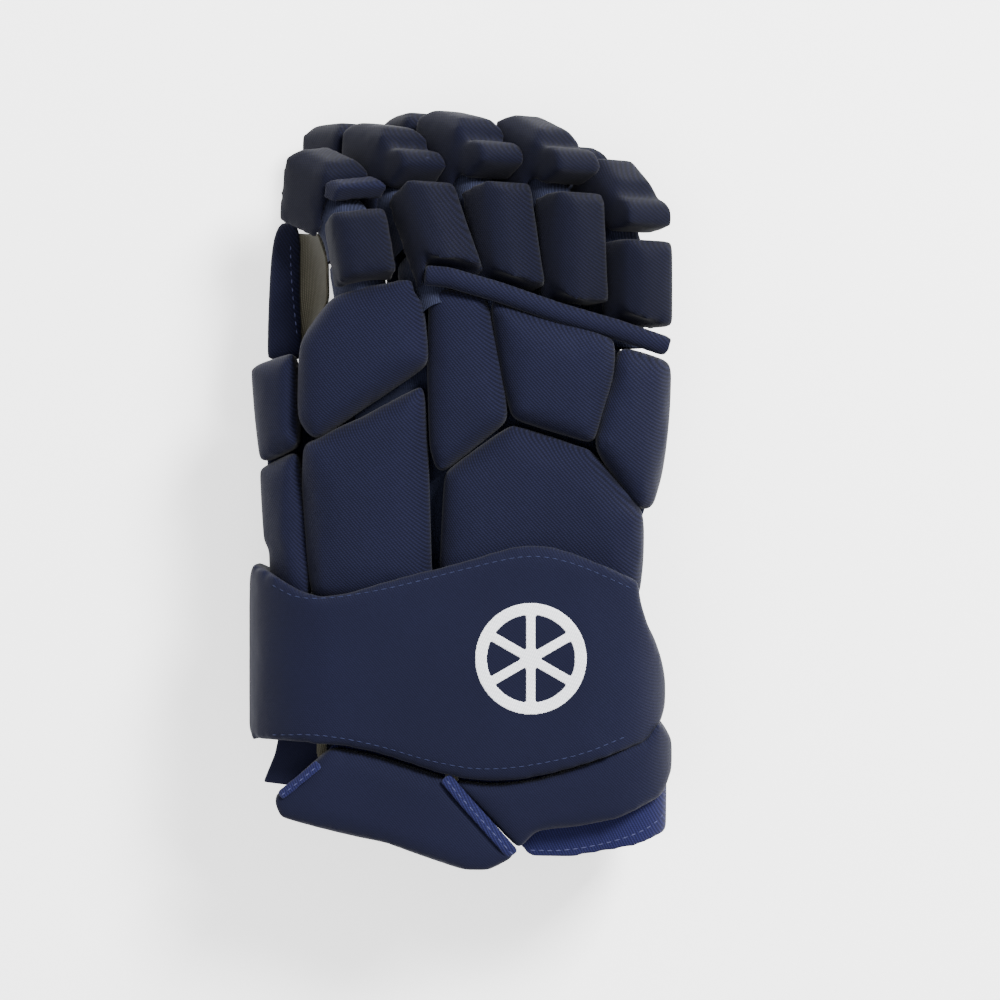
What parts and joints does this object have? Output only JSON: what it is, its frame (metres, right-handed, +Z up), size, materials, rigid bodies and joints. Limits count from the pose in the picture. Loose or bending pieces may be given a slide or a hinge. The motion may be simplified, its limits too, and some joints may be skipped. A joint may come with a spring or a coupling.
{
  "type": "ice hockey glove",
  "caption": "Right-hand ice hockey glove with padded backhand blocks, rolled knuckle guard, hinged finger and thumb stalls, and a flared padded cuff.",
  "frame": {"origin": "middle of the bounding box at its lowest level, on the surface the glove lies on palm down", "axes": "+X across the hand towards the little finger, +Y along the hand towards the fingertips, +Z up out of the back of the hand"},
  "size_m": [0.181, 0.3208, 0.1009],
  "materials": {
    "pad": "navy twill over foam",
    "stall": "navy knit",
    "binding": "royal navy binding tape",
    "palm": "navy synthetic suede",
    "lining": "khaki brushed lining",
    "stiffener": "moulded sheet",
    "emblem": "white embroidered patch"
  },
  "bodies": {
    "cuff": {"cuff_band": "pad", "cuff_stiffener": "stiffener", "cuff_liner": "lining", "inner_flap_pad": "pad", "outer_flap_pad": "pad", "inner_flap_backing": "binding", "outer_flap_backing": "binding", "palm_cuff_panel": "palm", "cuff_emblem": "emblem"},
    "hand": {"hand_liner": "lining", "backhand_base": "pad", "palm_panel": "palm", "backhand_stiffener": "stiffener", "knuckle_roll": "pad", "thumb_side_panel": "binding", "thumb_opening_lining": "lining", "thumb_base_pad": "pad", "inner_wrist_pad": "pad", "index_back_pad": "pad", "middle_back_pad": "pad", "outer_back_pad": "pad", "outer_wrist_pad": "pad", "upper_side_pad": "pad", "lower_side_pad": "pad"},
    "thumb_lower": {"thumb_lower_pad": "pad", "thumb_lower_stall": "stall"},
    "thumb_tip": {"thumb_tip_pad": "pad", "thumb_tip_stall": "stall", "thumb_binding_tape": "binding"},
    "index_first": {"index_first_pad": "pad", "index_first_stall": "stall"},
    "index_second": {"index_second_pad": "pad", "index_second_stall": "stall", "index_joint_roll": "pad"},
    "index_tip": {"index_tip_pad": "pad", "index_tip_stall": "stall"},
    "middle_first": {"middle_first_pad": "pad", "middle_first_stall": "stall"},
    "middle_second": {"middle_second_pad": "pad", "middle_second_stall": "stall", "middle_joint_roll": "pad"},
    "middle_tip": {"middle_tip_pad": "pad", "middle_tip_stall": "stall"},
    "ring_first": {"ring_first_pad": "pad", "ring_first_stall": "stall"},
    "ring_second": {"ring_second_pad": "pad", "ring_second_stall": "stall", "ring_joint_roll": "pad"},
    "ring_tip": {"ring_tip_pad": "pad", "ring_tip_stall": "stall"},
    "little_first": {"little_first_pad": "pad", "little_first_stall": "stall"},
    "little_second": {"little_second_pad": "pad", "little_second_stall": "stall", "little_joint_roll": "pad"},
    "little_tip": {"little_tip_pad": "pad", "little_tip_stall": "stall"}
  },
  "joints": [
    {"name": "wrist", "type": "hinge", "parent": "cuff", "child": "hand", "pos_m": [-0.0005, -0.05638, 0.038], "axis": [-1, 0, 0], "range_deg": [-6, 18], "stiffness_Nm_per_rad": 15},
    {"name": "index_knuckle", "type": "hinge", "parent": "hand", "child": "index_first", "pos_m": [-0.0129, 0.07702, 0.07408], "axis": [-0.788, 0, 0.6157], "range_deg": [0, 22], "stiffness_Nm_per_rad": 2.5},
    {"name": "index_middle_joint", "type": "hinge", "parent": "index_first", "child": "index_second", "pos_m": [-0.02663, 0.11725, 0.05651], "axis": [-0.788, 0, 0.6157], "range_deg": [-4, 20], "stiffness_Nm_per_rad": 1.2},
    {"name": "index_tip_joint", "type": "hinge", "parent": "index_second", "child": "index_tip", "pos_m": [-0.04548, 0.1221, 0.03238], "axis": [-0.788, 0, 0.6157], "range_deg": [-2.4, 12], "stiffness_Nm_per_rad": 0.4},
    {"name": "middle_knuckle", "type": "hinge", "parent": "hand", "child": "middle_first", "pos_m": [0.0113, 0.07677, 0.06404], "axis": [-0.788, 0, 0.6157], "range_deg": [0, 22], "stiffness_Nm_per_rad": 2.5},
    {"name": "middle_middle_joint", "type": "hinge", "parent": "middle_first", "child": "middle_second", "pos_m": [0.00479, 0.12257, 0.0557], "axis": [-0.788, 0, 0.6157], "range_deg": [-4, 20], "stiffness_Nm_per_rad": 1.2},
    {"name": "middle_tip_joint", "type": "hinge", "parent": "middle_second", "child": "middle_tip", "pos_m": [-0.0138, 0.12954, 0.0319], "axis": [-0.788, 0, 0.6157], "range_deg": [-2.4, 12], "stiffness_Nm_per_rad": 0.4},
    {"name": "ring_knuckle", "type": "hinge", "parent": "hand", "child": "ring_first", "pos_m": [0.03753, 0.07381, 0.05656], "axis": [-0.788, 0, 0.6157], "range_deg": [0, 22], "stiffness_Nm_per_rad": 2.5},
    {"name": "ring_middle_joint", "type": "hinge", "parent": "ring_first", "child": "ring_second", "pos_m": [0.03547, 0.12169, 0.05392], "axis": [-0.788, 0, 0.6157], "range_deg": [-4, 20], "stiffness_Nm_per_rad": 1.2},
    {"name": "ring_tip_joint", "type": "hinge", "parent": "ring_second", "child": "ring_tip", "pos_m": [0.01835, 0.13293, 0.032], "axis": [-0.788, 0, 0.6157], "range_deg": [-2.4, 12], "stiffness_Nm_per_rad": 0.4},
    {"name": "little_knuckle", "type": "hinge", "parent": "hand", "child": "little_first", "pos_m": [0.06449, 0.06562, 0.04551], "axis": [-0.788, 0, 0.6157], "range_deg": [0, 22], "stiffness_Nm_per_rad": 2.5},
    {"name": "little_middle_joint", "type": "hinge", "parent": "little_first", "child": "little_second", "pos_m": [0.06449, 0.10362, 0.04551], "axis": [-0.788, 0, 0.6157], "range_deg": [-4, 20], "stiffness_Nm_per_rad": 1.2},
    {"name": "little_tip_joint", "type": "hinge", "parent": "little_second", "child": "little_tip", "pos_m": [0.0527, 0.11969, 0.03042], "axis": [-0.788, 0, 0.6157], "range_deg": [-2.4, 12], "stiffness_Nm_per_rad": 0.4},
    {"name": "thumb_base_joint", "type": "hinge", "parent": "hand", "child": "thumb_lower", "pos_m": [-0.04372, 0.08009, 0.07436], "axis": [-0.7431, 0, 0.6691], "range_deg": [-4, 16], "stiffness_Nm_per_rad": 2},
    {"name": "thumb_tip_joint", "type": "hinge", "parent": "thumb_lower", "child": "thumb_tip", "pos_m": [-0.04909, 0.11003, 0.0684], "axis": [-0.7431, 0, 0.6691], "range_deg": [-4, 12], "stiffness_Nm_per_rad": 0.8}
  ],
  "couplings": [
    {"joint": "index_tip_joint", "follows": "index_middle_joint", "ratio": 0.6},
    {"joint": "middle_tip_joint", "follows": "middle_middle_joint", "ratio": 0.6},
    {"joint": "ring_tip_joint", "follows": "ring_middle_joint", "ratio": 0.6},
    {"joint": "little_tip_joint", "follows": "little_middle_joint", "ratio": 0.6}
  ]
}
